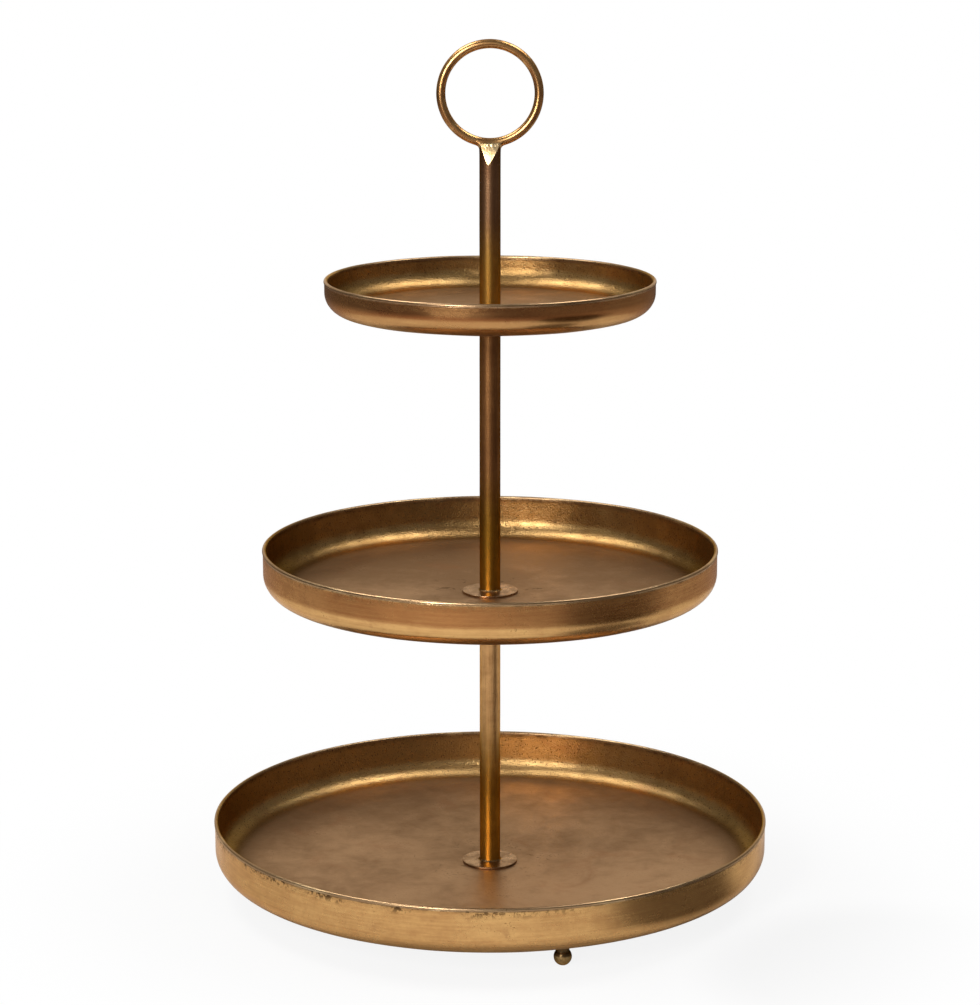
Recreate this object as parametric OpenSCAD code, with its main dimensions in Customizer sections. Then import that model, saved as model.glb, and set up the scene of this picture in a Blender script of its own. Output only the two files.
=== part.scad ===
// Three-tier etagere: round sheet-metal trays on a central tube, with a ring handle and ball feet.
// Millimetres, +Z up. The origin is on the table, under the middle of the stand.
// The ring stands in the X-Z plane and the front is towards -Y.

/* [Trays] */
// Outside width of the bottom tray
bottom_tray_d = 350; // [300:1:420]
// Outside width of the middle tray
middle_tray_d = 284; // [230:1:340]
// Outside width of the top tray
top_tray_d = 204; // [180:1:260]
// Depth of the bottom tray, from its rim to its underside beside the corner
bottom_tray_h = 31.3; // [24:0.1:50]
// Depth of the middle tray
middle_tray_h = 28.4; // [22:0.1:45]
// Depth of the top tray
top_tray_h = 20.8; // [18:0.1:40]
// Thickness of the sheet
sheet_t = 1.6; // [1:0.1:2.4]
// Outside radius of the round corner between wall and floor
corner_r = 13; // [6:0.5:15]
// Thickness of the rounded bead along a rim
bead_d = 2.4; // [2.4:0.1:4]
// How much lower the middle of a floor lies than its edge
floor_drop = 3; // [0.5:0.5:4]
// Width of the level band between the corner and the dished floor
level_band = 28; // [20:1:36]
// Hole for the stud or bolt in the middle of a tray
tray_hole_d = 6.6; // [6.4:0.1:8]

/* [Rods] */
// Length of the tube between the bottom and the middle tray
lower_rod_l = 174.5; // [120:0.5:260]
// Length of the tube between the middle and the top tray
middle_rod_l = 172.5; // [120:0.5:260]
// Length of the tube from the top tray to the ring
upper_rod_l = 102.5; // [70:0.5:160]
// Outside width of the tube
rod_d = 13; // [12:0.1:16]
// Wall of the tube
rod_wall = 1.5; // [1:0.1:1.6]
// Height of the rounded chamfers at the top of the upper rod
facet_h = 12.5; // [8:0.5:20]
// How far below the chamfers' lower end the axis of their round lies
facet_start = 0.8; // [0.5:0.1:2]
// How far the chamfers stay clear of the braze at the very top
facet_lip = 0.1; // [0.1:0.1:1]
// Solid length above the bore at the top of the upper rod
rod_end_l = 16; // [14:0.5:24]

/* [Flanges] */
// Outside width of the disc at the foot of a rod
flange_d = 35; // [26:0.5:44]
// Thickness of that disc
flange_t = 1.3; // [1:0.1:2.5]
// Width of the braze fillet round the foot of a rod
rod_fillet = 1.2; // [0.6:0.1:2]

/* [Ring] */
// Outside width of the ring
ring_d = 65; // [50:0.5:90]
// Thickness of the ring's wire
wire_d = 5.6; // [4:0.1:6]
// How far the wire is let into the rod's end
ring_sink = 1.8; // [1:0.1:2]
// Thickness of the braze round the wire
ring_braze_t = 0.5; // [0.3:0.1:0.6]
// Angle that the braze covers round the ring
ring_braze_angle = 25; // [18:1:34]

/* [Feet] */
// Height of a foot, from the table to the tray
foot_h = 16; // [15:0.5:24]
// Width of the ball
foot_ball_d = 11; // [9:0.5:12]
// Width of the flat under the ball
foot_flat_d = 4; // [2:0.5:5]
// Width of the stem above the ball
foot_stem_d = 8; // [5:0.5:8.5]
// Width of the braze fillet round the top of the stem
foot_fillet = 1; // [0.5:0.1:1.5]
// Turn of the front foot from the middle of the front, towards +X
foot_turn = 17; // [0:1:60]

/* [Fasteners] */
// Outside width of the thread on the studs and the bolt
thread_d = 6; // [5:0.5:6]
// Length of a threaded insert
insert_l = 14; // [13:0.5:24]
// Length of a stud inside each insert
stud_reach = 12; // [8:0.5:12.5]
// Length of the base bolt inside its insert
bolt_reach = 11.5; // [8:0.5:12.5]
// Width across the flats of the bolt's head
bolt_head_af = 10; // [8:0.5:12]
// Height of the bolt's head
bolt_head_h = 4; // [3:0.5:5]
// Outside width of the washer under the bottom tray
washer_d = 18; // [14:0.5:24]
// Thickness of that washer
washer_t = 1.6; // [1:0.1:2]
// Gap all round between a thread and its hole, and between an insert and its tube
fit_gap = 0.05; // [0.03:0.01:0.1]

/* [Hidden] */
$fn = 96;
foot_count = 3;
// Room by which a cutting shape runs past the face that it cuts
cut = 1;
brass = [0.62, 0.46, 0.26];
dark_brass = [0.42, 0.30, 0.17];
braze = [0.78, 0.62, 0.36];
steel = [0.60, 0.61, 0.63];

rod_r = rod_d / 2;
rod_bore_r = rod_r - rod_wall;
insert_r = rod_bore_r - fit_gap;
thread_r = thread_d / 2;
insert_bore_r = thread_r + fit_gap;
// Level seat in the middle of each floor, a little wider than the flange
seat_r = flange_d / 2 + 3;
// Distance from the bead's outside to the wall's outside
bead_proud = (bead_d - sheet_t) / 2;

// Heights, from the table up
bottom_seat_z = foot_h - floor_drop;
bottom_rim_z = foot_h + bottom_tray_h;
bottom_flange_z = bottom_seat_z + sheet_t;
lower_rod_z = bottom_flange_z + flange_t;
middle_seat_z = lower_rod_z + lower_rod_l;
middle_rim_z = middle_seat_z + floor_drop + middle_tray_h;
middle_flange_z = middle_seat_z + sheet_t;
middle_rod_z = middle_flange_z + flange_t;
top_seat_z = middle_rod_z + middle_rod_l;
top_rim_z = top_seat_z + floor_drop + top_tray_h;
top_flange_z = top_seat_z + sheet_t;
upper_rod_z = top_flange_z + flange_t;
upper_rod_top_z = upper_rod_z + upper_rod_l;

// Ring
ring_r = (ring_d - wire_d) / 2;
wire_r = wire_d / 2;
ring_z = upper_rod_top_z - ring_sink + wire_r + ring_r;
saddle_r = wire_r + ring_braze_t;
facet_y = saddle_r + facet_lip;
// A chamfer is part of a cylinder that lies along X and passes through the chamfer's lower and upper end
facet_rise = facet_h * (facet_h + 2 * facet_start);
facet_axis_y = (rod_r + facet_y) / 2 - facet_rise / (2 * (rod_r - facet_y));
facet_bend_r = sqrt(pow(rod_r - facet_axis_y, 2) + pow(facet_start, 2));

// Feet
foot_circle_r = wall_r(bottom_tray_d) - corner_r - level_band / 2;
ball_r = foot_ball_d / 2;
ball_z = sqrt(pow(ball_r, 2) - pow(foot_flat_d / 2, 2));

// Length of a stud between the two inserts that it joins
stud_l = 2 * stud_reach + sheet_t + flange_t;
bolt_grip = washer_t + sheet_t + flange_t;

// Outside radius of a tray's wall below the bead
function wall_r(d) = d / 2 - bead_proud;

// Half section of a solid pan with its rim at height 0, used once for each face of the sheet
module pan_section(r, h, corner) {
    floor_r = r - corner;
    polygon([
        [0, 0],
        [0, -h - floor_drop],
        [seat_r, -h - floor_drop],
        [floor_r - level_band, -h],
        [floor_r, -h],
        [floor_r, 0]
    ]);
    translate([floor_r - cut, corner - h]) square([corner + cut, h - corner]);
    translate([floor_r, corner - h]) circle(r = corner);
}

// A tray with its rim at rim_z
module tray(d, h, rim_z) {
    wall = wall_r(d);
    bead_r = bead_d / 2;
    translate([0, 0, rim_z])
        rotate_extrude() {
            difference() {
                intersection() {
                    pan_section(wall, h, corner_r);
                    translate([0, -h - floor_drop]) square([wall, h + floor_drop - bead_r]);
                }
                translate([0, sheet_t]) pan_section(wall - sheet_t, h, corner_r - sheet_t);
                translate([-cut, -h - floor_drop - cut])
                    square([tray_hole_d / 2 + cut, h + floor_drop + cut]);
            }
            translate([wall - sheet_t / 2, -bead_r]) circle(r = bead_r);
        }
}

// A tube between z and z + l
module tube(z, l) {
    translate([0, 0, z])
        difference() {
            cylinder(r = rod_r, h = l);
            translate([0, 0, -cut]) cylinder(r = rod_bore_r, h = l + 2 * cut);
        }
}

// A disc with a hole for the stud or bolt
module disc(d, t, z) {
    translate([0, 0, z])
        difference() {
            cylinder(d = d, h = t);
            translate([0, 0, -cut]) cylinder(d = tray_hole_d, h = t + 2 * cut);
        }
}

// A threaded insert, with its bore at the thread's size
module insert(z) {
    color(steel)
        translate([0, 0, z])
            difference() {
                cylinder(r = insert_r, h = insert_l);
                translate([0, 0, -cut]) cylinder(r = insert_bore_r, h = insert_l + 2 * cut);
            }
}

// A triangular fillet round a bar of radius r. It widens towards the face at z = 0
module fillet_ring(r, w) {
    rotate_extrude() polygon([[r, 0], [r + w, 0], [r, w]]);
}

// A stud whose lower end lies stud_reach below the seat of a tray
module stud(seat_z) {
    color(steel)
        translate([0, 0, seat_z - stud_reach]) cylinder(r = thread_r, h = stud_l);
}

// A torus of the given wire radius along the ring, over an angle centred on its lowest point
module ring_arc(r, angle) {
    translate([0, 0, ring_z])
        rotate([90, 0, 0])
            rotate([0, 0, -90 - angle / 2])
                rotate_extrude(angle = angle)
                    translate([ring_r, 0]) circle(r = r);
}

// A foot of the given number, counted from the front one
module foot_place(i) {
    rotate([0, 0, foot_turn - 90 + i * 360 / foot_count])
        translate([foot_circle_r, 0, 0]) children();
}

module foot(i) {
    color(dark_brass)
        foot_place(i) {
            intersection() {
                translate([0, 0, ball_z]) sphere(r = ball_r);
                cylinder(r = foot_ball_d, h = foot_h);
            }
            translate([0, 0, ball_z]) cylinder(d = foot_stem_d, h = foot_h - ball_z);
        }
}

module bottom_tray() {
    color(brass) tray(bottom_tray_d, bottom_tray_h, bottom_rim_z);
}

module middle_tray() {
    color(brass) tray(middle_tray_d, middle_tray_h, middle_rim_z);
}

module top_tray() {
    color(brass) tray(top_tray_d, top_tray_h, top_rim_z);
}

module lower_rod() {
    color(brass) tube(lower_rod_z, lower_rod_l);
}

module middle_rod() {
    color(dark_brass) tube(middle_rod_z, middle_rod_l);
}

// What a chamfer of the upper rod cuts away, as a section in the Y-Z plane
module chamfer_section() {
    low_z = upper_rod_top_z - facet_h;
    difference() {
        translate([facet_y - cut, low_z]) square([rod_r - facet_y + 2 * cut, facet_h + cut]);
        translate([facet_axis_y, low_z - facet_start]) circle(r = facet_bend_r);
    }
}

// The upper rod is solid at its top, chamfered front and back, and hollowed to hold the wire
module upper_rod() {
    color(dark_brass)
        difference() {
            translate([0, 0, upper_rod_z]) cylinder(r = rod_r, h = upper_rod_l);
            translate([0, 0, upper_rod_z - cut])
                cylinder(r = rod_bore_r, h = upper_rod_l - rod_end_l + cut);
            for (turn = [0, 180])
                rotate([90, 0, 90 + turn])
                    linear_extrude(height = rod_d + 2 * cut, center = true) chamfer_section();
            ring_arc(saddle_r, 360);
        }
}

module bottom_flange() {
    color(brass) disc(flange_d, flange_t, bottom_flange_z);
}

module middle_flange() {
    color(brass) disc(flange_d, flange_t, middle_flange_z);
}

module top_flange() {
    color(brass) disc(flange_d, flange_t, top_flange_z);
}

module rod_braze() {
    color(braze)
        for (z = [lower_rod_z, middle_rod_z, upper_rod_z])
            translate([0, 0, z]) fillet_ring(rod_r, rod_fillet);
}

module lower_rod_foot_insert() {
    insert(lower_rod_z);
}

module lower_rod_head_insert() {
    insert(middle_seat_z - insert_l);
}

module middle_rod_foot_insert() {
    insert(middle_rod_z);
}

module middle_rod_head_insert() {
    insert(top_seat_z - insert_l);
}

module upper_rod_foot_insert() {
    insert(upper_rod_z);
}

module middle_stud() {
    stud(middle_seat_z);
}

module top_stud() {
    stud(top_seat_z);
}

// The bolt's head lies under the washer and its shank reaches up into the lower rod's insert
module base_bolt() {
    color(steel) {
        translate([0, 0, bottom_seat_z - washer_t - bolt_head_h])
            cylinder(d = bolt_head_af / cos(30), h = bolt_head_h, $fn = 6);
        translate([0, 0, bottom_seat_z - washer_t - cut])
            cylinder(r = thread_r, h = cut + bolt_grip + bolt_reach);
    }
}

module base_washer() {
    color(steel) disc(washer_d, washer_t, bottom_seat_z - washer_t);
}

module ring_handle() {
    color(brass) ring_arc(wire_r, 360);
}

module ring_braze() {
    color(braze)
        difference() {
            ring_arc(saddle_r, ring_braze_angle);
            ring_arc(wire_r, 360);
        }
}

module front_foot() {
    foot(0);
}

module right_foot() {
    foot(1);
}

module left_foot() {
    foot(2);
}

module foot_braze() {
    color(braze)
        for (i = [0 : foot_count - 1])
            foot_place(i)
                translate([0, 0, foot_h]) mirror([0, 0, 1]) fillet_ring(foot_stem_d / 2, foot_fillet);
}

bottom_tray();
middle_tray();
top_tray();
lower_rod();
middle_rod();
upper_rod();
bottom_flange();
middle_flange();
top_flange();
rod_braze();
lower_rod_foot_insert();
lower_rod_head_insert();
middle_rod_foot_insert();
middle_rod_head_insert();
upper_rod_foot_insert();
middle_stud();
top_stud();
base_bolt();
base_washer();
ring_handle();
ring_braze();
front_foot();
right_foot();
left_foot();
foot_braze();
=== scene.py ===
"""The etagere's looks: pieces, metals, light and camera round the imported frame."""

import math

import bmesh
import bpy
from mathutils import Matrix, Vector, noise


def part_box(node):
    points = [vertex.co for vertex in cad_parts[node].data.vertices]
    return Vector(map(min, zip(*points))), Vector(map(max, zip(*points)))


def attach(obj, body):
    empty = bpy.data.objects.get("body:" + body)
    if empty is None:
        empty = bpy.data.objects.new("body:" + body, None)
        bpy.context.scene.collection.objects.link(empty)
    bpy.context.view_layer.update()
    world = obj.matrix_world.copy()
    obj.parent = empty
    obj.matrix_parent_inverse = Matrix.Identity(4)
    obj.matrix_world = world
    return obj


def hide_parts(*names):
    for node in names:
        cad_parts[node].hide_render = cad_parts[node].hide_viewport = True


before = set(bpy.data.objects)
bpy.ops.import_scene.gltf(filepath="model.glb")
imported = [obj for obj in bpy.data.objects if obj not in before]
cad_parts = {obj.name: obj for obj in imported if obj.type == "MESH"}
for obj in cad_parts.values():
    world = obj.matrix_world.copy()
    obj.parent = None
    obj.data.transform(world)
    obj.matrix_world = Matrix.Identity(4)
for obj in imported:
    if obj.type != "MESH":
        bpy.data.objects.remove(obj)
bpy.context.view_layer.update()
MM = 0.001
TRAYS = ("bottom", "middle", "top")
FEET = ("front_foot", "right_foot", "left_foot")

# Sizes of the CAD part, in mm
SHEET = 1.6
CORNER = 13.0
BEAD = 1.2
DROP = 3.0
SEAT_R = 20.5
LEVEL_BAND = 28.0
TRAY_HOLE_R = 3.3
ROD_R = 6.5
ROD_BORE_R = 5.0
FACET_H = 12.5
FACET_START = 0.8
FACET_Y = 3.4
WIRE_R = 2.8
BALL_R = 5.5
STEM_R = 4.0

# Sizes that only this script has, in mm. WALL_INSET is from the bead's outside to the wall's. A neck
# point is how far the wall swells there towards the bead, and how far it lies below the bead's middle.
# The floor's drop is a straight cone for one share and rounded for the other.
WALL_INSET = BEAD - SHEET / 2
NECK = ((0.0, 1.1), (0.04, 0.95), (0.14, 0.82))
WALL_END = 1.6
CONE_SHARE = 0.82
ROUND_SHARE = 0.18
ROD_EDGE = 0.35
FLANGE_EDGE = 0.3
WASHER_EDGE = 0.25
ROD_FLARE = 0.2
BALL_FLAT = 0.38
INTO_TRAY = 0.4

# How far hand-made surfaces wander to each side, in mm. A tray's wall and rim stay RIM_MARGIN inside.
RIM_SWAY = 0.26
RIM_LIFT = 0.2
RIM_MARGIN = 0.02
FLOOR_DENT = 0.22
ROD_WOBBLE = 0.02
FLANGE_WARP = 0.05
FLANGE_WAVE = 0.12
WIRE_WOBBLE = 0.03
FOOT_WOBBLE = 0.04


# Numbers and outlines
def clamp(value, low, high):
    return max(low, min(high, value))


def ease(x, low, high):
    """0 below low and 1 above high, smooth between them."""
    t = clamp((x - low) / (high - low), 0.0, 1.0)
    return t * t * (3 - 2 * t)


def wander(seed, *at):
    """Smooth noise between about -1 and 1."""
    x, y, z = (list(at) + [0.0, 0.0])[:3]
    return noise.noise(Vector((x + 17.3 * seed, y - 9.1 * seed, z + 4.7 * seed))) * 1.6


def inward(size, seed, *at):
    """A shift from about minus twice size to 0, which keeps a surface inside the CAD one."""
    return -size + size * wander(seed, *at)


def turned(angle, r):
    """x and y of a point at that angle and distance from the axis."""
    return r * math.cos(angle), r * math.sin(angle)


def rotate(x, y, angle):
    c, s = math.cos(angle), math.sin(angle)
    return x * c - y * s, x * s + y * c


def node_box(name):
    """Lowest and highest corner of a CAD node, in mm."""
    low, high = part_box(name)
    return [c / MM for c in low], [c / MM for c in high]


def node_centre(name):
    """x and y of the middle of a CAD node, in mm."""
    low, high = node_box(name)
    return (low[0] + high[0]) / 2, (low[1] + high[1]) / 2


def arc(cx, cz, r, start, end, steps):
    """Points on a circle in the profile plane, angles in degrees."""
    out = []
    for i in range(steps + 1):
        dx, dz = turned(math.radians(start + (end - start) * i / steps), r)
        out.append((cx + dx, cz + dz))
    return out


def line(start, end, steps):
    """Points from start to end, the first one left out."""
    return [
        (start[0] + (end[0] - start[0]) * i / steps, start[1] + (end[1] - start[1]) * i / steps)
        for i in range(1, steps + 1)
    ]


# Meshes
def piece(name, points, faces, metals, replaced, face_metals=None):
    """A smooth mesh from points in mm, which rides on the stand and takes the place of CAD nodes."""
    mesh = bpy.data.meshes.new(name)
    mesh.from_pydata([(x * MM, y * MM, z * MM) for x, y, z in points], [], faces)
    for metal in metals:
        mesh.materials.append(metal)
    if face_metals:
        mesh.polygons.foreach_set("material_index", face_metals)
    work = bmesh.new()
    work.from_mesh(mesh)
    bmesh.ops.recalc_face_normals(work, faces=work.faces)
    work.to_mesh(mesh)
    work.free()
    mesh.polygons.foreach_set("use_smooth", [True] * len(mesh.polygons))
    obj = bpy.data.objects.new(name, mesh)
    bpy.context.scene.collection.objects.link(obj)
    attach(obj, "root")
    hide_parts(*replaced)
    return obj


def spin(profile, sides, move=None, centre=(0.0, 0.0)):
    """Points and faces of a closed profile turned round a vertical axis. move shifts a point."""
    points, faces = [], []
    count = len(profile)
    for k in range(sides):
        a = 2 * math.pi * k / sides
        for i, (r, z) in enumerate(profile):
            if move:
                r, z = move(r, z, a, i)
            x, y = turned(a, r)
            points.append((centre[0] + x, centre[1] + y, z))
    for k in range(sides):
        n = (k + 1) % sides
        for i in range(count):
            j = (i + 1) % count
            faces.append((k * count + i, n * count + i, n * count + j, k * count + j))
    return points, faces


def join_parts(parts):
    """One list of points and one of faces from several."""
    points, faces = [], []
    for part_points, part_faces in parts:
        start = len(points)
        points += part_points
        faces += [tuple(i + start for i in face) for face in part_faces]
    return points, faces


def mark(obj, name, values):
    """A number for each vertex, which a material reads as a mask."""
    layer = obj.data.attributes.new(name, "FLOAT", "POINT")
    layer.data.foreach_set("value", values)


# Colours of the metals, linear. A pair is the dark and the light tone of one surface.
WALL_TONES = ((0.52, 0.27, 0.10), (0.76, 0.45, 0.17))
INNER_TONES = ((0.265, 0.152, 0.053), (0.45, 0.28, 0.108))
FLOOR_TONES = ((0.27, 0.152, 0.074), (0.47, 0.285, 0.15))
# Painted shade in the inside corner of a tray
CORNER_SHADE_TONE = (0.15, 0.085, 0.036)
RIM_TONE = (0.30, 0.20, 0.115)
RIM_WORN = (0.66, 0.47, 0.25)
RUST = (0.33, 0.145, 0.062)
SOOT_AND_SHADE = (0.045, 0.022, 0.010)

# Colours of the reflections at a grazing angle
EDGE_TINT = (0.72, 0.48, 0.25)
FLOOR_TINT = (1.0, 0.83, 0.66)
WALL_TINT = (0.98, 0.84, 0.72)

# Heights in metres between which the painted shade and the share of eaten spots change from one tray to
# the next
ABOVE_BOTTOM = (0.05, 0.15)
ABOVE_MIDDLE = (0.28, 0.34)


class Nodes:
    """A node tree, with short calls for the nodes that it uses."""

    def __init__(self, tree, coordinates):
        self.tree = tree
        self.tree.nodes.clear()
        self.place = self.node("ShaderNodeTexCoord").outputs[coordinates]
        split = self.node("ShaderNodeSeparateXYZ")
        self.put(split.inputs[0], self.place)
        self.x, self.y, self.z = split.outputs

    def node(self, kind, **settings):
        made = self.tree.nodes.new(kind)
        for key, value in settings.items():
            setattr(made, key, value)
        return made

    def put(self, socket, value):
        """Links another node's output to the socket, or sets the socket's own number or colour."""
        if isinstance(value, bpy.types.NodeSocket):
            self.tree.links.new(value, socket)
        elif isinstance(value, tuple) and len(value) == 3 and socket.type == "RGBA":
            socket.default_value = (*value, 1.0)
        else:
            socket.default_value = value

    def calc(self, operation, *values):
        made = self.node("ShaderNodeMath", operation=operation)
        for socket, value in zip(made.inputs, values):
            self.put(socket, value)
        return made.outputs[0]

    def chain(self, operation, values):
        """One operation over all values, from left to right."""
        result = values[0]
        for value in values[1:]:
            result = self.calc(operation, result, value)
        return result

    def add(self, *values):
        return self.chain("ADD", values)

    def times(self, *values):
        return self.chain("MULTIPLY", values)

    def largest(self, *values):
        return self.chain("MAXIMUM", values)

    def weighted(self, *pairs):
        """The sum of value times weight."""
        return self.add(*[self.times(value, weight) for value, weight in pairs])

    def rest(self, value):
        """What is left of 1."""
        return self.calc("SUBTRACT", 1.0, value)

    def radius(self, a, b):
        return self.calc("SQRT", self.add(self.times(a, a), self.times(b, b)))

    def band(self, value, low, high, to_low=0.0, to_high=1.0):
        """to_low where value is low and to_high where it is high, smooth between them."""
        made = self.node("ShaderNodeMapRange", interpolation_type="SMOOTHSTEP")
        keys = ("Value", "From Min", "From Max", "To Min", "To Max")
        for key, number in zip(keys, (value, low, high, to_low, to_high)):
            self.put(made.inputs[key], number)
        return made.outputs["Result"]


class Metal(Nodes):
    """A material, with short calls for its patterns, colours and bumps."""

    def __init__(self, name):
        self.material = bpy.data.materials.new(name)
        self.material.use_nodes = True
        super().__init__(self.material.node_tree, "Object")

    def join(self, x, y, z):
        made = self.node("ShaderNodeCombineXYZ")
        for socket, value in zip(made.inputs, (x, y, z)):
            self.put(socket, value)
        return made.outputs[0]

    def stretched(self, x_scale, y_scale, z_scale):
        """The place on the object, with each direction scaled."""
        return self.join(
            self.times(self.x, x_scale), self.times(self.y, y_scale), self.times(self.z, z_scale))

    def noise(self, scale, detail=3.0, rough=0.55, bend=0.0, at=None):
        """Noise with about scale lumps to the metre, over the place on the object or over at."""
        made = self.node("ShaderNodeTexNoise")
        self.put(made.inputs["Vector"], self.place if at is None else at)
        self.put(made.inputs["Scale"], scale)
        self.put(made.inputs["Detail"], detail)
        self.put(made.inputs["Roughness"], rough)
        self.put(made.inputs["Distortion"], bend)
        return made.outputs["Fac"]

    def brushed(self, r, z, grain, drift, length):
        """Fine lines round the stand, about grain of them to the metre, which change along their way."""
        slow = self.times(self.noise(length, 2.0), drift)
        at = self.join(self.times(r, grain), self.times(z, grain), slow)
        return self.noise(1.0, 4.0, 0.62, at=at)

    def mask(self, name):
        return self.node("ShaderNodeAttribute", attribute_name=name).outputs["Fac"]

    def mix(self, share, a, b):
        """Colour a where share is 0 and b where it is 1."""
        made = self.node("ShaderNodeMix", data_type="RGBA")
        for index, value in ((0, share), (6, a), (7, b)):
            self.put(made.inputs[index], value)
        return made.outputs[2]

    def mix_number(self, share, a, b):
        """Number a where share is 0 and b where it is 1."""
        made = self.node("ShaderNodeMix", data_type="FLOAT")
        for index, value in ((0, share), (2, a), (3, b)):
            self.put(made.inputs[index], value)
        return made.outputs[0]

    def shade(self, value, tones, low=0.38, high=0.62):
        """The dark tone of a pair where value is low, and the light one where it is high."""
        return self.mix(self.band(value, low, high), *tones)

    def bumps(self, *layers):
        """layers are (height, distance in metres, strength), from coarse to fine."""
        normal = None
        for height, distance, strength in layers:
            made = self.node("ShaderNodeBump")
            self.put(made.inputs["Strength"], strength)
            self.put(made.inputs["Distance"], distance)
            self.put(made.inputs["Height"], height)
            if normal is not None:
                self.put(made.inputs["Normal"], normal)
            normal = made.outputs[0]
        return normal

    def finish(self, colour, rough, normal, tint=EDGE_TINT):
        shader = self.node("ShaderNodeBsdfPrincipled")
        self.put(shader.inputs["Base Color"], colour)
        self.put(shader.inputs["Roughness"], rough)
        self.put(shader.inputs["Metallic"], 1.0)
        self.put(shader.inputs["Specular Tint"], tint)
        self.put(shader.inputs["Normal"], normal)
        out = self.node("ShaderNodeOutputMaterial")
        self.put(out.inputs["Surface"], shader.outputs[0])
        return self.material


def tray_stains(m, patch, outer, edge, groove, floor):
    """How dark the dirt, specks, eaten spots and scuffs of a tray are, from 0 to 1."""
    walls = m.times(m.rest(m.largest(outer, floor)), 0.80)
    pitted = m.largest(m.band(patch, 0.52, 0.68, 0.04, 0.7), m.largest(groove, walls))
    speck = m.times(m.band(m.noise(900.0, 2.0, 0.5), 0.60, 0.68), pitted)
    dirt = m.times(groove, m.band(m.noise(120.0, 5.0, 0.7), 0.42, 0.66, 0.10, 0.75))
    near_rod = m.times(floor, m.band(m.radius(m.x, m.y), 0.050, 0.022, 0.04, 0.6))
    scuff = m.times(m.band(m.noise(130.0, 6.0, 0.7, 1.2), 0.57, 0.66), near_rod)
    worn = m.add(m.noise(20.0, 3.0, 0.6), m.band(m.x, -0.04, -0.10, 0.0, 0.06))
    eaten = m.times(
        m.band(m.noise(400.0, 5.0, 0.72, 0.5), 0.49, 0.56), edge, m.band(worn, 0.40, 0.54, 0.05, 0.9),
        m.band(m.z, *ABOVE_BOTTOM, 1.0, 0.40), m.band(m.x, -0.03, 0.05, 1.0, 0.50))
    return m.largest(dirt, m.times(speck, 0.85), eaten, scuff)


def tray_metal():
    """Old brass of the trays: brushed outside, matte on the floor, dark spots under the rim, and painted
    shade.
    """
    m = Metal("tray_brass")
    outer, rim, groove, floor = m.mask("outer"), m.mask("rim"), m.mask("groove"), m.mask("floor")
    edge, bend = m.mask("edge"), m.mask("bend")
    r = m.radius(m.x, m.y)
    fine = m.brushed(r, m.z, 2200.0, 6.0, 7.0)
    coarse = m.brushed(r, m.z, 700.0, 9.0, 8.0)
    lines = m.weighted((fine, 0.25), (coarse, 0.75))
    broad = m.noise(9.0, 5.0, 0.6, 0.4)
    patch = m.noise(55.0, 6.0, 0.66, 0.3)
    tone = m.weighted((broad, 0.55), (patch, 0.45))

    # Painted shade: the floors darker towards the left and the back, and the bottom tray lighter inside
    # than the two above it.
    floor_shade = m.add(
        m.band(m.x, -0.03, -0.13, 0.0, -0.07), m.band(m.y, -0.02, 0.10, 0.0, -0.10),
        m.band(m.z, *ABOVE_BOTTOM, 0.03, 0.0))
    level = m.add(tone, m.band(m.z, *ABOVE_BOTTOM, 0.06, -0.05), m.times(floor, floor_shade))
    inside = m.mix(floor, m.shade(level, INNER_TONES), m.shade(level, FLOOR_TONES, 0.34, 0.66))
    # Painted shade: a darker band where the floor turns up into the wall.
    inside = m.mix(m.times(bend, 0.55), inside, CORNER_SHADE_TONE)

    mottle = m.noise(340.0, 4.0, 0.65, 0.4)
    smear = m.noise(1.0, 4.0, 0.55, 0.5, at=m.stretched(60.0, 60.0, 260.0))
    streaked = m.weighted((tone, 0.44), (mottle, 0.10), (smear, 0.16), (lines, 0.30))
    # Painted shade: the top tray's outer wall darker than the two below it.
    outside = m.shade(m.add(streaked, m.band(m.z, *ABOVE_MIDDLE, 0.0, -0.11)), WALL_TONES)

    colour = m.mix(outer, inside, outside)
    colour = m.mix(m.band(m.noise(26.0, 6.0, 0.7, 0.6), 0.56, 0.70, 0.0, 0.35), colour, RUST)
    colour = m.mix(m.times(rim, 0.80), colour, RIM_TONE)
    colour = m.mix(m.times(rim, m.band(m.noise(24.0), 0.50, 0.66, 0.0, 0.6)), colour, RIM_WORN)
    dark = tray_stains(m, patch, outer, edge, groove, floor)
    colour = m.mix(dark, colour, SOOT_AND_SHADE)

    rough = m.add(
        m.band(tone, 0.36, 0.64, 0.32, 0.23), m.times(lines, 0.08),
        m.mix_number(outer, m.mix_number(floor, 0.03, 0.13), -0.06),
        m.times(rim, 0.02), m.times(bend, 0.10), m.times(dark, 0.25))

    still = m.largest(m.times(rim, 0.88), m.times(floor, 0.60))
    calm = m.rest(m.largest(still, m.times(outer, 0.80)))
    smooth = m.rest(m.largest(still, m.times(outer, 0.94)))
    swell = m.noise(70.0, 2.0, 0.5, 0.3)
    pebble = m.noise(420.0, 2.0, 0.5)
    grain = m.noise(950.0, 2.0, 0.6)
    normal = m.bumps(
        (swell, 0.0003, calm), (pebble, 0.00009, smooth),
        (grain, 0.00026, smooth), (lines, 0.00001, calm))
    tint = m.mix(floor, m.mix(outer, EDGE_TINT, WALL_TINT), FLOOR_TINT)
    return m.finish(colour, rough, normal, tint)


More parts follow.
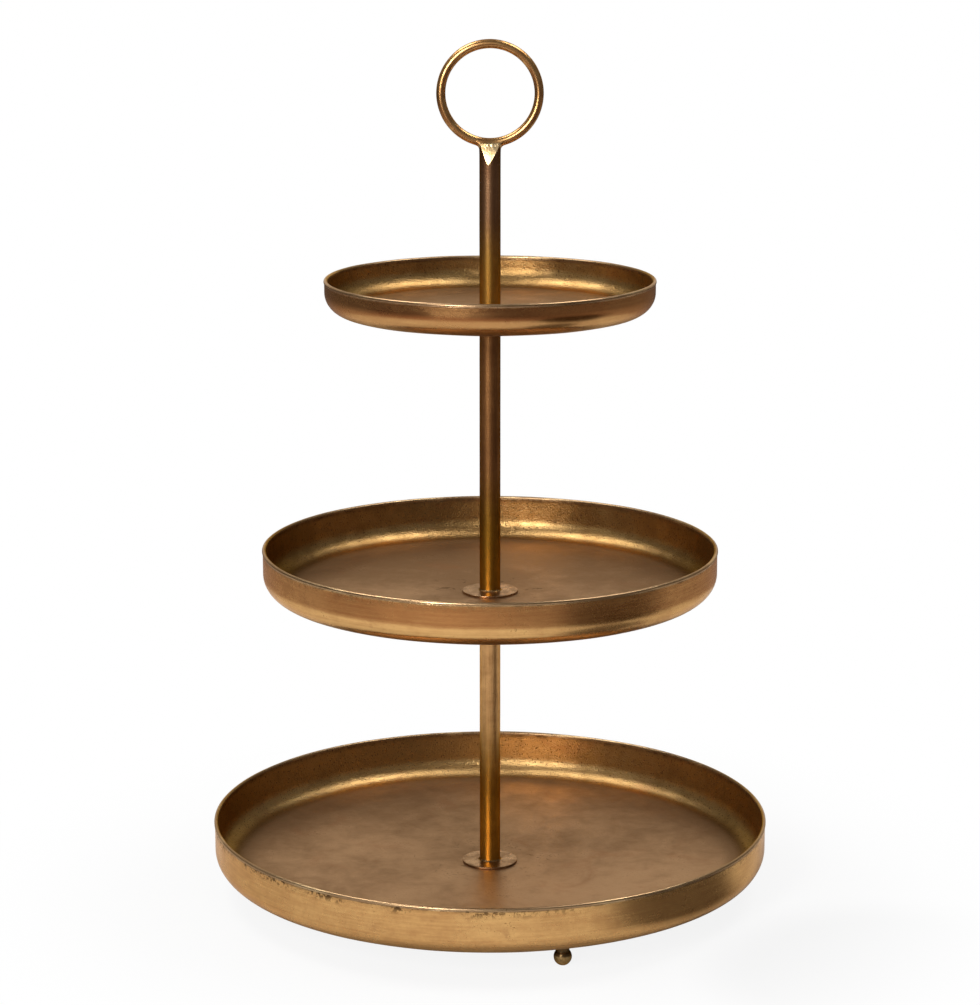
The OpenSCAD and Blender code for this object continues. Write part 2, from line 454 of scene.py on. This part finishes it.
def rod_metal(node, body, foot_reflection, reach, rough):
    """Drawn brass, a pair of body tones, and up to reach a yellower pair, a painted reflection of the
    tray.

    rough is the roughness of the light tone and of the dark one.
    """
    m = Metal(node + "_brass")
    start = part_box(node)[0][2]
    patch = m.noise(120.0, 5.0, 0.65)
    drawn = m.noise(1.0, 3.0, 0.6, at=m.stretched(1600.0, 1600.0, 45.0))
    tone = m.weighted((m.noise(22.0, 4.0, 0.6), 0.5), (patch, 0.25), (drawn, 0.25))
    # Painted reflection of the tray below, yellower towards the rod's lower end.
    reflection_share = m.band(m.z, start + reach, start + 0.4 * reach)
    colour = m.mix(reflection_share, m.shade(tone, body), m.shade(tone, foot_reflection))
    speck = m.times(m.band(m.noise(1100.0, 2.0), 0.66, 0.72), m.band(patch, 0.48, 0.62, 0.15, 0.9))
    colour = m.mix(m.times(speck, 0.8), colour, SOOT_AND_SHADE)
    roughness = m.add(m.band(tone, 0.38, 0.62, rough[1], rough[0]), m.times(drawn, 0.06))
    grain = m.noise(1000.0, 2.0, 0.6)
    normal = m.bumps((patch, 0.00005, 1.0), (grain, 0.00013, 1.0), (drawn, 0.000008, 1.0))
    return m.finish(colour, roughness, normal)


def plain_metal(name, tones, rough, grain_depth=0.00004, swell_depth=0.00008, spots=0.7, tint=EDGE_TINT,
                shade_above=None):
    """A metal without a grain direction, for small pieces. It may carry painted shade above a height in
    metres.
    """
    m = Metal(name)
    swell = m.noise(160.0, 1.0, 0.5)
    grain = m.noise(800.0, 3.0, 0.6)
    tone = m.weighted((m.noise(160.0, 5.0, 0.65, 0.3), 0.7), (grain, 0.3))
    colour = m.mix(m.times(m.band(m.noise(1200.0, 2.0), 0.66, 0.72), spots), m.shade(tone, tones), SOOT_AND_SHADE)
    # Painted shade: nearly black above the given height.
    if shade_above is not None:
        colour = m.mix(m.band(m.z, shade_above - 0.0007, shade_above + 0.0007, 0.0, 0.85), colour, SOOT_AND_SHADE)
    roughness = m.band(tone, 0.38, 0.62, rough[1], rough[0])
    normal = m.bumps((swell, swell_depth, 1.0), (grain, grain_depth, 1.0))
    return m.finish(colour, roughness, normal, tint)


tray_brass = tray_metal()
# One brass for all rods: darker body tones the higher the rod are painted shade.
lower_rod_brass = rod_metal(
    "lower_rod", body=((0.45, 0.235, 0.086), (0.73, 0.425, 0.175)),
    foot_reflection=((0.39, 0.20, 0.030), (0.62, 0.35, 0.060)), reach=0.105, rough=(0.24, 0.32))
middle_rod_brass = rod_metal(
    "middle_rod", body=((0.205, 0.093, 0.033), (0.335, 0.163, 0.058)),
    foot_reflection=((0.26, 0.122, 0.014), (0.42, 0.215, 0.029)), reach=0.085, rough=(0.31, 0.40))
upper_rod_brass = rod_metal(
    "upper_rod", body=((0.143, 0.068, 0.032), (0.222, 0.122, 0.060)),
    foot_reflection=((0.21, 0.098, 0.019), (0.34, 0.18, 0.037)), reach=0.065, rough=(0.36, 0.46))
flange_brass = plain_metal(
    "flange_brass", ((0.25, 0.14, 0.07), (0.42, 0.26, 0.14)), rough=(0.26, 0.38),
    grain_depth=0.00003, swell_depth=0.00006, spots=0.4, tint=FLOOR_TINT)
ring_brass = plain_metal(
    "ring_brass", ((0.36, 0.18, 0.066), (0.56, 0.32, 0.125)), rough=(0.26, 0.32),
    grain_depth=0.0, swell_depth=0.00001, spots=0.0)
# The feet: painted shade above 6.2 mm, under the tray, and light tones below, partly a painted reflection
# of the floor.
foot_brass = plain_metal(
    "foot_brass", ((0.40, 0.25, 0.10), (0.62, 0.42, 0.18)), rough=(0.28, 0.42), shade_above=0.0062)
braze_gold = plain_metal(
    "braze_gold", ((0.56, 0.37, 0.16), (0.80, 0.60, 0.33)), rough=(0.30, 0.42),
    swell_depth=0.0001, spots=0.35)
braze_dark = plain_metal(
    "braze_dark", ((0.06, 0.03, 0.014), (0.42, 0.25, 0.10)), rough=(0.35, 0.55), grain_depth=0.00015)
steel = plain_metal(
    "steel", ((0.30, 0.29, 0.28), (0.56, 0.56, 0.57)), rough=(0.32, 0.46),
    grain_depth=0.00002, spots=0.25)


# Trays
def tray_profile(edge, seat, rim):
    """Closed section of a tray: along the underside, up the outside, over the bead and back inside.

    Also says which of its points is the top of the bead.
    """
    wall = edge - WALL_INSET
    turn = wall - CORNER
    level_r = turn - LEVEL_BAND
    inner = wall - SHEET
    corner_z = seat + DROP + CORNER
    bead_z = rim - BEAD
    under_steps, corner_steps, wall_steps, bead_steps = 44, 18, 8, 22

    def dish(r):
        straight = clamp((r - SEAT_R) / (level_r - SEAT_R), 0.0, 1.0)
        return seat + DROP * (CONE_SHARE * straight + ROUND_SHARE * ease(r, SEAT_R, level_r + 12))

    under = [TRAY_HOLE_R + (turn - TRAY_HOLE_R) * i / under_steps for i in range(under_steps + 1)]
    section = [(r, dish(r)) for r in under]
    section += arc(turn, corner_z, CORNER, -90, 0, corner_steps)[1:]
    section += line((wall, corner_z), (wall, bead_z - WALL_END), wall_steps)
    section += [(wall + swell, bead_z - below) for swell, below in NECK]
    top = len(section) + bead_steps // 2
    section += arc(wall - SHEET / 2, bead_z, BEAD, -42, 222, bead_steps)
    section += [(inner - swell, bead_z - below) for swell, below in reversed(NECK)]
    section += line((inner, bead_z - WALL_END), (inner, corner_z), wall_steps)
    section += arc(turn, corner_z, CORNER - SHEET, 0, -90, corner_steps)[1:]
    section += [(r, dish(r) + SHEET) for r in reversed(under)][1:]
    return section, top


def tray_masks(profile, top, wall, seat, rim):
    """The numbers that tray_metal reads, for each point of the section."""
    start = wall - CORNER
    partly = 0.6
    out = []
    for i, (r, z) in enumerate(profile):
        outside = i <= top
        under_bead = rim - 2 * BEAD - z
        from_bead = math.hypot(r - (wall - SHEET / 2), z - (rim - BEAD))
        up_wall = ease(z, seat + DROP + 1, seat + DROP + 6) if r > start - 1 else 0.0
        level = 1 - ease(r, start - 5, start + 3)
        corner = ease(r, start - 16, start - 5) * (1 - ease(r, start - 1, start + 5))
        in_groove = r > wall - 2.6 and under_bead > -0.8
        out.append({
            "outer": up_wall if i < top - 6 else partly if outside else 0.0,
            "rim": 1 - ease(from_bead, BEAD + 0.02, BEAD + 0.25) if z > rim - 2 * BEAD else 0.0,
            "groove": max(0.0, 1 - abs(under_bead + 0.1) / 0.7) if in_groove else 0.0,
            "floor": level if i > top + 10 else partly if outside else 0.0,
            "edge": 1 - ease(under_bead, 0.5, 5.0) if outside and under_bead > -0.8 else 0.0,
            # bend: where the floor turns up into the wall, painted darker and made rougher by tray_metal
            "bend": 0.0 if outside else corner,
        })
    return out


def make_tray(name, seed):
    low, high = node_box(name + "_tray")
    seat, rim = low[2], high[2]
    wall = high[0] - WALL_INSET
    profile, top = tray_profile(high[0], seat, rim)

    def uneven(r, z, a, i):
        """A hand-made wall and rim, a little inside the CAD one, and shallow dents in the floor."""
        up = ease(z, seat + DROP, rim)
        out = ease(r, wall * 0.75, wall)
        sway = 0.55 * wander(seed, *turned(a, 1.3)) + 0.30 * wander(seed + 3, *turned(a, 4))
        lift = 0.6 * wander(seed + 5, *turned(a, 1.6)) + 0.4 * wander(seed + 7, *turned(a, 5))
        r += out * (RIM_SWAY * clamp(sway, -1.0, 1.0) - RIM_SWAY - RIM_MARGIN)
        z += up * out * (RIM_LIFT * clamp(lift, -1.0, 1.0) - RIM_LIFT - RIM_MARGIN)
        dent = ease(r, 28, 70) * (1 - ease(r, wall - CORNER - 4, wall - 4))
        x, y = turned(a, r)
        z += dent * FLOOR_DENT * wander(seed + 9, x / 34, y / 34)
        return r, z

    sides = 288
    points, faces = spin(profile, sides, uneven)
    obj = piece(name + "_tray_brass", points, faces, [tray_brass], [name + "_tray"])
    masks = tray_masks(profile, top, wall, seat, rim)
    for mask in masks[0]:
        mark(obj, mask, [numbers[mask] for numbers in masks] * sides)


# Rods
def rod_wobble(seed, a, z):
    """The small inward shift of a rod's surface at the angle a and the height z."""
    return inward(ROD_WOBBLE, seed, *turned(a, 1.5), z / 16)


def make_rod(name, metal, seed):
    low, high = node_box(name)
    bottom, top = low[2], high[2]
    steps = max(6, int((top - bottom) / 3))
    e = ROD_EDGE
    profile = [(ROD_R - e, bottom)] + arc(ROD_R - e, bottom + e, e, -90, 0, 4)[1:]
    profile += line((ROD_R, bottom + e), (ROD_R, top - e), steps)
    profile += arc(ROD_R - e, top - e, e, 0, 90, 4)[1:]
    profile += [(ROD_BORE_R, top), (ROD_BORE_R, bottom)]

    def uneven(r, z, a, i):
        if r > ROD_R - 0.01:
            r += rod_wobble(seed, a, z)
        return r, z

    points, faces = spin(profile, 96, uneven)
    piece(name + "_brass", points, faces, [metal], [name])


# The two chamfers at the upper rod's end, front and back. Seen from the side, each one is an arc with its
# middle at FACET_AXIS_Y and the radius FACET_BEND. They look ground by hand, so both are turned round the
# rod by FACET_TURN, and their lower edge slants by FACET_LEAN.
FACET_AXIS_Y = (ROD_R + FACET_Y) / 2 - FACET_H * (FACET_H + 2 * FACET_START) / (2 * (ROD_R - FACET_Y))
FACET_BEND = math.hypot(ROD_R - FACET_AXIS_Y, FACET_START)
FACET_TURN = math.radians(11)
FACET_LEAN = 0.42


def facet_limit(x, z, top):
    """Half thickness of the upper rod front to back, which a rounded chamfer thins towards the ring."""
    start = top - FACET_H
    rise = z - start + FACET_LEAN * x * ease(z, start - 3, start + 2)
    if rise <= 0:
        return ROD_R + 1.0
    return FACET_AXIS_Y + math.sqrt(FACET_BEND ** 2 - (rise + FACET_START) ** 2)


def make_upper_rod():
    low, high = node_box("upper_rod")
    bottom, top = low[2], high[2]
    sides, plain, fine = 192, 40, 80
    start = top - FACET_H - 1.5
    heights = [bottom + (start - bottom) * i / plain for i in range(plain)]
    heights += [start + (top - start) * i / fine for i in range(fine + 1)]
    points, faces, metals = [], [], []
    for z in heights:
        flare = ROD_FLARE * ease(z, top - 6, top)
        for k in range(sides):
            a = 2 * math.pi * k / sides
            x, y = rotate(*turned(a, ROD_R + rod_wobble(4, a, z)), FACET_TURN)
            limit = facet_limit(x, z, top)
            if abs(y) > limit:
                y = math.copysign(limit + 0.02 * wander(6, x, y, z / 1.2), y)
            x, y = rotate(x, y, -FACET_TURN)
            points.append((x + flare * math.cos(a), y, z))
    for i in range(len(heights) - 1):
        between = (heights[i] + heights[i + 1]) / 2
        for k in range(sides):
            n = (k + 1) % sides
            faces.append((i * sides + k, i * sides + n, (i + 1) * sides + n, (i + 1) * sides + k))
            x, y = rotate(*turned(2 * math.pi * (k + 0.5) / sides, ROD_R), FACET_TURN)
            metals.append(1 if abs(y) > facet_limit(x, between, top) + 0.02 else 0)
    last = (len(heights) - 1) * sides
    faces.append(tuple(reversed(range(sides))))
    faces.append(tuple(last + k for k in range(sides)))
    metals += [0, 0]
    two_metals = [upper_rod_brass, braze_gold]
    piece("upper_rod_brass", points, faces, two_metals, ["upper_rod"], metals)


# Flanges, and the braze between bars and flat faces
def make_flange(name, seed):
    low, high = node_box(name)
    r_edge, z0, z1, e = high[0], low[2], high[2], FLANGE_EDGE
    profile = [(TRAY_HOLE_R, z0)] + line((TRAY_HOLE_R, z0), (r_edge - e, z0), 6)
    profile += arc(r_edge - e, z0 + e, e, -90, 0, 4)[1:]
    profile += arc(r_edge - e, z1 - e, e, 0, 90, 4)
    profile += line((r_edge - e, z1), (TRAY_HOLE_R, z1), 10)

    def uneven(r, z, a, i):
        if z > z0 + 0.5 and r > 8:
            x, y = turned(a, r)
            z += inward(FLANGE_WARP, seed, x / 7, y / 7)
        if r > 16:
            r += inward(FLANGE_WAVE, seed + 2, *turned(a, 2))
        return r, z

    points, faces = spin(profile, 128, uneven)
    piece(name + "_brass", points, faces, [flange_brass], [name])


def braze_ring(r, z, width, up, seed, centre=(0.0, 0.0)):
    """A hollow-faced, uneven bead of braze in the corner between a bar and a flat face."""
    steps, depth = 8, 0.2
    profile = [(r - depth, z - 0.1 * up)]
    for i in range(steps + 1):
        a = math.radians(90 * i / steps)
        profile.append((r + width * (1 - math.sin(a)), z + up * width * (1 - math.cos(a))))
    profile.append((r - depth, z + up * width))

    def uneven(pr, pz, a, i):
        if 0 < i < steps + 2:
            k = 0.72 + 0.28 * wander(seed, *turned(a, 3.2), i / 4)
            k += 0.12 * wander(seed + 1, *turned(a, 11), i / 2)
            k = clamp(k, 0.25, 1.0)
            pr = r - 0.02 + (pr - r) * k
            pz = z + (pz - z) * k
        return pr, pz

    return spin(profile, 96, uneven, centre)


def make_rod_braze():
    parts = []
    for n, name in enumerate(TRAYS):
        z = node_box(name + "_flange")[1][2]
        parts.append(braze_ring(ROD_R, z, 1.2, 1, 20 + n))
    points, faces = join_parts(parts)
    piece("rod_braze_metal", points, faces, [braze_dark], ["rod_braze"])


# Ring
def ring_centre():
    """Height of the ring's middle, and the radius of the circle along the wire's middle."""
    low, high = node_box("ring_handle")
    return (low[2] + high[2]) / 2, (high[2] - low[2]) / 2 - WIRE_R


def make_ring():
    z0, radius = ring_centre()
    points, faces = [], []
    around, wire = 256, 32
    for k in range(around):
        a = 2 * math.pi * k / around
        size = WIRE_R + inward(WIRE_WOBBLE, 31, *turned(a, 3))
        lean = 0.12 * wander(33, *turned(a, 1))
        for j in range(wire):
            across, out = turned(2 * math.pi * j / wire, size)
            r = radius - 0.04 + across
            points.append((r * math.sin(a), lean + out, z0 - r * math.cos(a)))
    for k in range(around):
        n = (k + 1) % around
        for j in range(wire):
            i = (j + 1) % wire
            faces.append((k * wire + j, n * wire + j, n * wire + i, k * wire + i))
    piece("ring_handle_brass", points, faces, [ring_brass], ["ring_handle"])


def joint_surface():
    """A function that is negative inside the ring's wire or the rod's end, blended where they meet."""
    z0, radius = ring_centre()
    top = node_box("upper_rod")[1][2]
    blend = 2.6

    def surface(x, y, z):
        wire = math.hypot(math.hypot(x, z - z0) - radius, y) - WIRE_R
        across, out = rotate(x, y, FACET_TURN)
        rod = max(math.hypot(x, y) - ROD_R, abs(out) - facet_limit(across, min(z, top), top), z - top)
        h = clamp(0.5 + 0.5 * (rod - wire) / blend, 0.0, 1.0)
        return rod * (1 - h) + wire * h - blend * h * (1 - h)

    return surface


def skin_distance(surface, place):
    """How far from the wire's middle the surface lies, where place gives the point at a distance."""
    near, far = 1.5, 6.2
    if surface(*place(far)) < 0:
        return far
    for _ in range(24):
        t = (near + far) / 2
        if surface(*place(t)) < 0:
            near = t
        else:
            far = t
    return t


def make_ring_braze():
    """The skin of braze where the wire lies in the rod's end, blended into both."""
    z0, radius = ring_centre()
    surface = joint_surface()
    points, faces, thick = [], [], []
    along, wire, spread = 72, 96, math.radians(19)
    for k in range(along + 1):
        u = -spread + 2 * spread * k / along
        cx, cz = radius * math.sin(u), z0 - radius * math.cos(u)
        fade = ease(abs(u), spread * 0.75, spread)
        for j in range(wire):
            v = 2 * math.pi * j / wire
            dx, dy, dz = math.cos(v) * math.sin(u), math.sin(v), -math.cos(v) * math.cos(u)

            def place(t):
                return cx + t * dx, t * dy, cz + t * dz

            t = skin_distance(surface, place)
            p = Vector(place(t))
            if t < 6:
                lumps = 0.10 * wander(41, p.x / 1.4, p.y / 1.4, p.z / 1.4)
                lumps += 0.05 * wander(42, p.x * 1.6, p.y * 1.6, p.z * 1.6)
                t += -0.05 + lumps * ease(t, WIRE_R + 0.02, WIRE_R + 0.6) - 0.12 * fade
            points.append(place(t))
            thick.append(t + 0.12 * wander(44, p.x / 0.9, p.y / 0.9, p.z / 0.9))
    for k in range(along):
        for j in range(wire):
            i = (j + 1) % wire
            a = k * wire
            faces.append((a + j, a + wire + j, a + wire + i, a + i))
    faces.append(tuple(range(wire)))
    faces.append(tuple(along * wire + j for j in reversed(range(wire))))
    metals = [0 if sum(thick[v] for v in face) / len(face) > WIRE_R + 0.42 else 1 for face in faces]
    two_metals = [braze_gold, ring_brass]
    piece("ring_braze_metal", points, faces, two_metals, ["ring_braze"], metals)


# Feet
def make_foot(name, seed):
    top = node_box(name)[1][2] + INTO_TRAY
    flat = math.sqrt(BALL_R ** 2 - (BALL_R - BALL_FLAT) ** 2)
    mid = math.sqrt(BALL_R ** 2 - flat ** 2)
    start = math.degrees(math.atan2(-mid, flat))
    end = math.degrees(math.acos((STEM_R + 0.3) / BALL_R))
    profile = [(0.4, 0.0), (1.2, 0.0), (flat - 0.25, 0.02)] + arc(0, mid, BALL_R, start + 3, end, 26)
    neck = profile[-1][1]
    profile += [(STEM_R + 0.1, neck + 0.25), (STEM_R, neck + 0.55)]
    profile += line((STEM_R, neck + 0.55), (STEM_R, top), 6)
    profile += [(0.4, top)]

    def uneven(r, z, a, i):
        if r > 3:
            r += inward(FOOT_WOBBLE, seed, *turned(a, 2), z / 3)
        return r, z

    points, faces = spin(profile, 64, uneven, node_centre(name))
    piece(name + "_brass", points, faces, [foot_brass], [name])


def make_foot_braze():
    parts = []
    for n, name in enumerate(FEET):
        top = node_box(name)[1][2]
        parts.append(braze_ring(STEM_R, top, 1.0, -1, 50 + n, node_centre(name)))
    points, faces = join_parts(parts)
    piece("foot_braze_metal", points, faces, [braze_dark], ["foot_braze"])


# Washer under the bottom tray
def make_washer():
    low, high = node_box("base_washer")
    r, z, e = high[0], low[2], WASHER_EDGE
    profile = [(TRAY_HOLE_R, z + e)] + arc(TRAY_HOLE_R + e, z + e, e, 180, 270, 3)[1:]
    profile += line((TRAY_HOLE_R + e, z), (r - e, z), 6)
    profile += arc(r - e, z + e, e, -90, 0, 4)[1:]
    profile += [(r, high[2]), (TRAY_HOLE_R, high[2])]
    points, faces = spin(profile, 96)
    piece("base_washer_steel", points, faces, [steel], ["base_washer"])


for seed, name in enumerate(TRAYS):
    make_tray(name, seed + 1)
    make_flange(name + "_flange", seed + 10)
make_rod("lower_rod", lower_rod_brass, 2)
make_rod("middle_rod", middle_rod_brass, 3)
make_upper_rod()
make_rod_braze()
make_ring()
make_ring_braze()
for seed, name in enumerate(FEET):
    make_foot(name, seed + 60)
make_foot_braze()
make_washer()

for name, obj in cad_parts.items():
    if name == "base_bolt" or name.endswith("insert") or name.endswith("stud"):
        obj.data.materials.clear()
        obj.data.materials.append(steel)


# Stage: what the metal sees of the floor. Past the paper it is brown, and the two dark patches at the
# right stand in for the reflection of the photograph's second stand.
PAPER = (0.66, 0.66, 0.66)
NEAR_BROWN = (0.28, 0.178, 0.148)
FAR_BROWN = (0.17, 0.105, 0.088)
RIGHT_BROWN = (0.42, 0.30, 0.25)
PATCH_BROWN = (0.05, 0.03, 0.015)
FLOOR_HALF = 20.0


def floor_material():
    """White to the camera, with some real light and shadow near the stand. Metal sees paper and brown."""
    m = Metal("floor_white")
    away = m.radius(m.x, m.y)
    brown = m.mix(m.band(away, 0.9, 1.3), NEAR_BROWN, FAR_BROWN)
    brown = m.mix(m.band(m.x, 0.8, 1.5), brown, RIGHT_BROWN)
    past_paper = m.times(m.band(away, 0.62, 0.78), m.band(m.y, 0.10, -0.30, 0.75, 1.0))
    beside = m.band(m.radius(m.calc("SUBTRACT", m.x, 0.72), m.add(m.y, 0.42)), 0.46, 0.30)
    close = m.band(m.radius(m.calc("SUBTRACT", m.x, 0.245), m.add(m.y, 0.16)), 0.14, 0.085)
    patches = m.largest(beside, m.times(close, 0.86))
    lit = m.node("ShaderNodeBsdfDiffuse")
    m.put(lit.inputs["Color"], m.mix(patches, m.mix(past_paper, PAPER, brown), PATCH_BROWN))
    white = m.node("ShaderNodeEmission")
    m.put(white.inputs["Color"], (1.0, 1.0, 1.0))
    seen = m.node("ShaderNodeLightPath").outputs["Is Camera Ray"]
    blend = m.node("ShaderNodeMixShader")
    m.put(blend.inputs[0], m.times(seen, m.band(away, 0.16, 0.36, 0.88, 1.0)))
    m.put(blend.inputs[1], lit.outputs[0])
    m.put(blend.inputs[2], white.outputs[0])
    out = m.node("ShaderNodeOutputMaterial")
    m.put(out.inputs["Surface"], blend.outputs[0])
    return m.material


def stage_floor():
    mesh = bpy.data.meshes.new("floor")
    corners = [(x * FLOOR_HALF, y * FLOOR_HALF, 0) for x, y in ((-1, -1), (1, -1), (1, 1), (-1, 1))]
    mesh.from_pydata(corners, [], [(0, 1, 2, 3)])
    mesh.materials.append(floor_material())
    floor = bpy.data.objects.new("floor", mesh)
    bpy.context.scene.collection.objects.link(floor)


def studio_world():
    """White to the camera. The metal sees a white backdrop behind the stand and a dim room elsewhere."""
    world = bpy.data.worlds.new("studio")
    bpy.context.scene.world = world
    world.use_nodes = True
    w = Nodes(world.node_tree, "Generated")
    ray = w.node("ShaderNodeLightPath").outputs
    mirrored = w.largest(ray["Is Glossy Ray"], ray["Is Transmission Ray"])
    backdrop = w.times(mirrored, w.calc("GREATER_THAN", w.y, 0.93))
    room = w.band(w.y, 0.6, 0.92, 0.2, 0.8)
    light = w.node("ShaderNodeBackground")
    w.put(light.inputs["Color"], (1.0, 1.0, 1.0))
    w.put(light.inputs["Strength"], w.largest(ray["Is Camera Ray"], backdrop, room))
    out = w.node("ShaderNodeOutputWorld")
    w.put(out.inputs["Surface"], light.outputs[0])


def look_at(obj, place, aim):
    """Puts a lamp or camera at a place, turned to the aim."""
    obj.location = place
    obj.rotation_euler = (aim - place).to_track_quat("-Z", "Y").to_euler()


def softbox(name, azimuth, elevation, distance, width, height, power):
    """An area light that faces the stand. Azimuth 0 is in front and positive to the right."""
    a, e = math.radians(azimuth), math.radians(elevation)
    aim = Vector((0, 0, 0.25))
    way = Vector((math.sin(a) * math.cos(e), -math.cos(a) * math.cos(e), math.sin(e)))
    data = bpy.data.lights.new(name, "AREA")
    data.shape = "RECTANGLE"
    data.size = width
    data.size_y = height
    data.energy = power
    lamp = bpy.data.objects.new(name, data)
    bpy.context.scene.collection.objects.link(lamp)
    look_at(lamp, aim + distance * way, aim)
    lamp.visible_camera = False


stage_floor()
studio_world()
softbox("key", azimuth=-24, elevation=21, distance=2.0, width=0.42, height=0.95, power=33)
softbox("top_left", azimuth=-108, elevation=62, distance=1.9, width=0.75, height=0.75, power=21)
softbox("top_right", azimuth=108, elevation=62, distance=1.9, width=0.75, height=0.75, power=17)

# Camera, from the fit to the photograph
EYE = Vector((0.0, -1.81, 0.66))
AIM = Vector((0.0, 0.0, 0.249))
camera_data = bpy.data.cameras.new("camera")
camera_data.sensor_width = 36.0
camera_data.lens = 107.0
camera = bpy.data.objects.new("camera", camera_data)
bpy.context.scene.collection.objects.link(camera)
look_at(camera, EYE, AIM)
bpy.context.scene.camera = camera
bpy.context.scene.view_settings.view_transform = "Standard"
